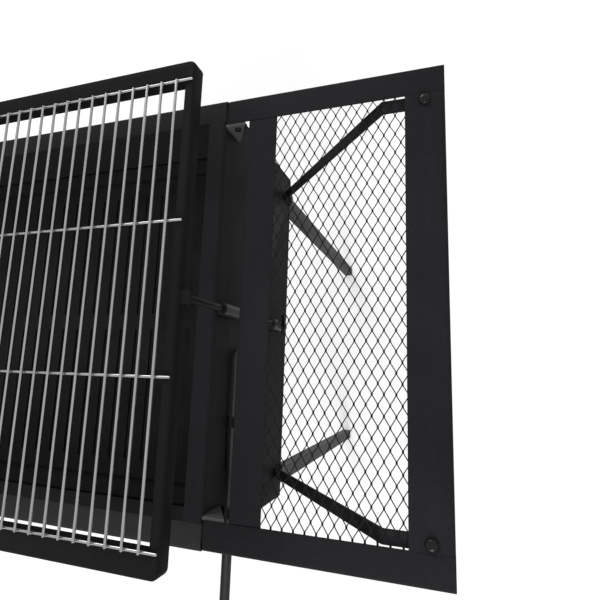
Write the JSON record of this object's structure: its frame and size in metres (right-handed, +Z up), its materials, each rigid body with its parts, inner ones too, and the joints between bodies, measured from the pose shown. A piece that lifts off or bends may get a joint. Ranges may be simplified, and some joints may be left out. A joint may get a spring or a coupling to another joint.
{
  "type": "charcoal grill",
  "caption": "Charcoal grill: rectangular sheet-steel firebox on square legs, wire cooking grate on a height-adjustable raised frame, braced mesh side shelves and a front rail.",
  "frame": {"origin": "on the ground under the middle of the whole grill's outline", "axes": "+X to the right along the firebox and across both side shelves, +Y towards the rear, away from the cook, +Z up"},
  "size_m": [1.054, 0.5799, 0.8316],
  "materials": {
    "black_paint": "satin black heat-resistant paint over folded sheet steel",
    "chrome_wire": "bright chrome-plated round wire",
    "dark_hardware": "blackened hex bolts, nuts, washers and spacers",
    "plated_bolts": "glossy dark domed bolt heads with sharp highlights",
    "knob_plastic": "dull black wing screws and leg caps",
    "rod_steel": "smooth dark round bar",
    "bare_grate_steel": "dark slotted steel plate",
    "leg_paint": "dull charcoal-grey paint on tube legs and lower guides"
  },
  "bodies": {
    "firebox": {"arm_bolts": "plated_bolts", "arm_spacers": "dark_hardware", "brace_bolts": "plated_bolts", "brace_foot_bolts": "dark_hardware", "brace_washers": "dark_hardware", "ear_bolts": "dark_hardware", "floor_pan": "black_paint", "front_coal_ledge": "black_paint", "front_panel": "black_paint", "front_rail": "black_paint", "hex_nuts": "dark_hardware", "left_braces": "black_paint", "left_front_leg": "leg_paint", "left_panel": "black_paint", "left_rail_arm": "black_paint", "left_rear_leg": "leg_paint", "left_rod_guide": "leg_paint", "left_rod_sleeve": "black_paint", "left_shelf_front_bar": "black_paint", "left_shelf_inner_bar": "black_paint", "left_shelf_mesh": "black_paint", "left_shelf_outer_bar": "black_paint", "left_shelf_rear_bar": "black_paint", "leg_bolts": "dark_hardware", "leg_caps": "knob_plastic", "rail_plugs": "black_paint", "rail_screws": "plated_bolts", "rear_coal_ledge": "black_paint", "rear_panel": "black_paint", "right_braces": "black_paint", "right_front_leg": "leg_paint", "right_panel": "black_paint", "right_rail_arm": "black_paint", "right_rear_leg": "leg_paint", "right_rod_guide": "leg_paint", "right_rod_sleeve": "black_paint", "right_shelf_front_bar": "black_paint", "right_shelf_inner_bar": "black_paint", "right_shelf_mesh": "black_paint", "right_shelf_outer_bar": "black_paint", "right_shelf_rear_bar": "black_paint", "shelf_ears": "black_paint", "shelf_lugs": "black_paint"},
    "grate_frame": {"frame_front_bar": "black_paint", "frame_rear_bar": "black_paint", "left_frame_bar": "black_paint", "right_frame_bar": "black_paint", "left_rod_tab": "black_paint", "right_rod_tab": "black_paint", "left_lift_rod": "rod_steel", "right_lift_rod": "rod_steel"},
    "cooking_grate": {"grate_cross_wires": "chrome_wire", "grate_long_wires": "chrome_wire"},
    "charcoal_plate": {"charcoal_grate": "bare_grate_steel"},
    "right_lock": {"right_lock_screw": "knob_plastic"},
    "left_lock": {"left_lock_screw": "knob_plastic"}
  },
  "joints": [
    {"name": "frame_lift", "type": "slide", "parent": "firebox", "child": "grate_frame", "axis": [0, 0, 1], "range_m": [-0.048, 0.02]},
    {"name": "cooking_grate_lift", "type": "slide", "parent": "grate_frame", "child": "cooking_grate", "axis": [0, 0, 1], "range_m": [0, 0.15]},
    {"name": "charcoal_grate_lift", "type": "slide", "parent": "firebox", "child": "charcoal_plate", "axis": [0, 0, 1], "range_m": [0, 0.085]},
    {"name": "right_lock_turn", "type": "hinge", "parent": "firebox", "child": "right_lock", "pos_m": [0.327, 0.06505, 0.61], "axis": [1, 0, 0], "continuous": true},
    {"name": "left_lock_turn", "type": "hinge", "parent": "firebox", "child": "left_lock", "pos_m": [-0.327, 0.06505, 0.61], "axis": [-1, 0, 0], "continuous": true}
  ]
}
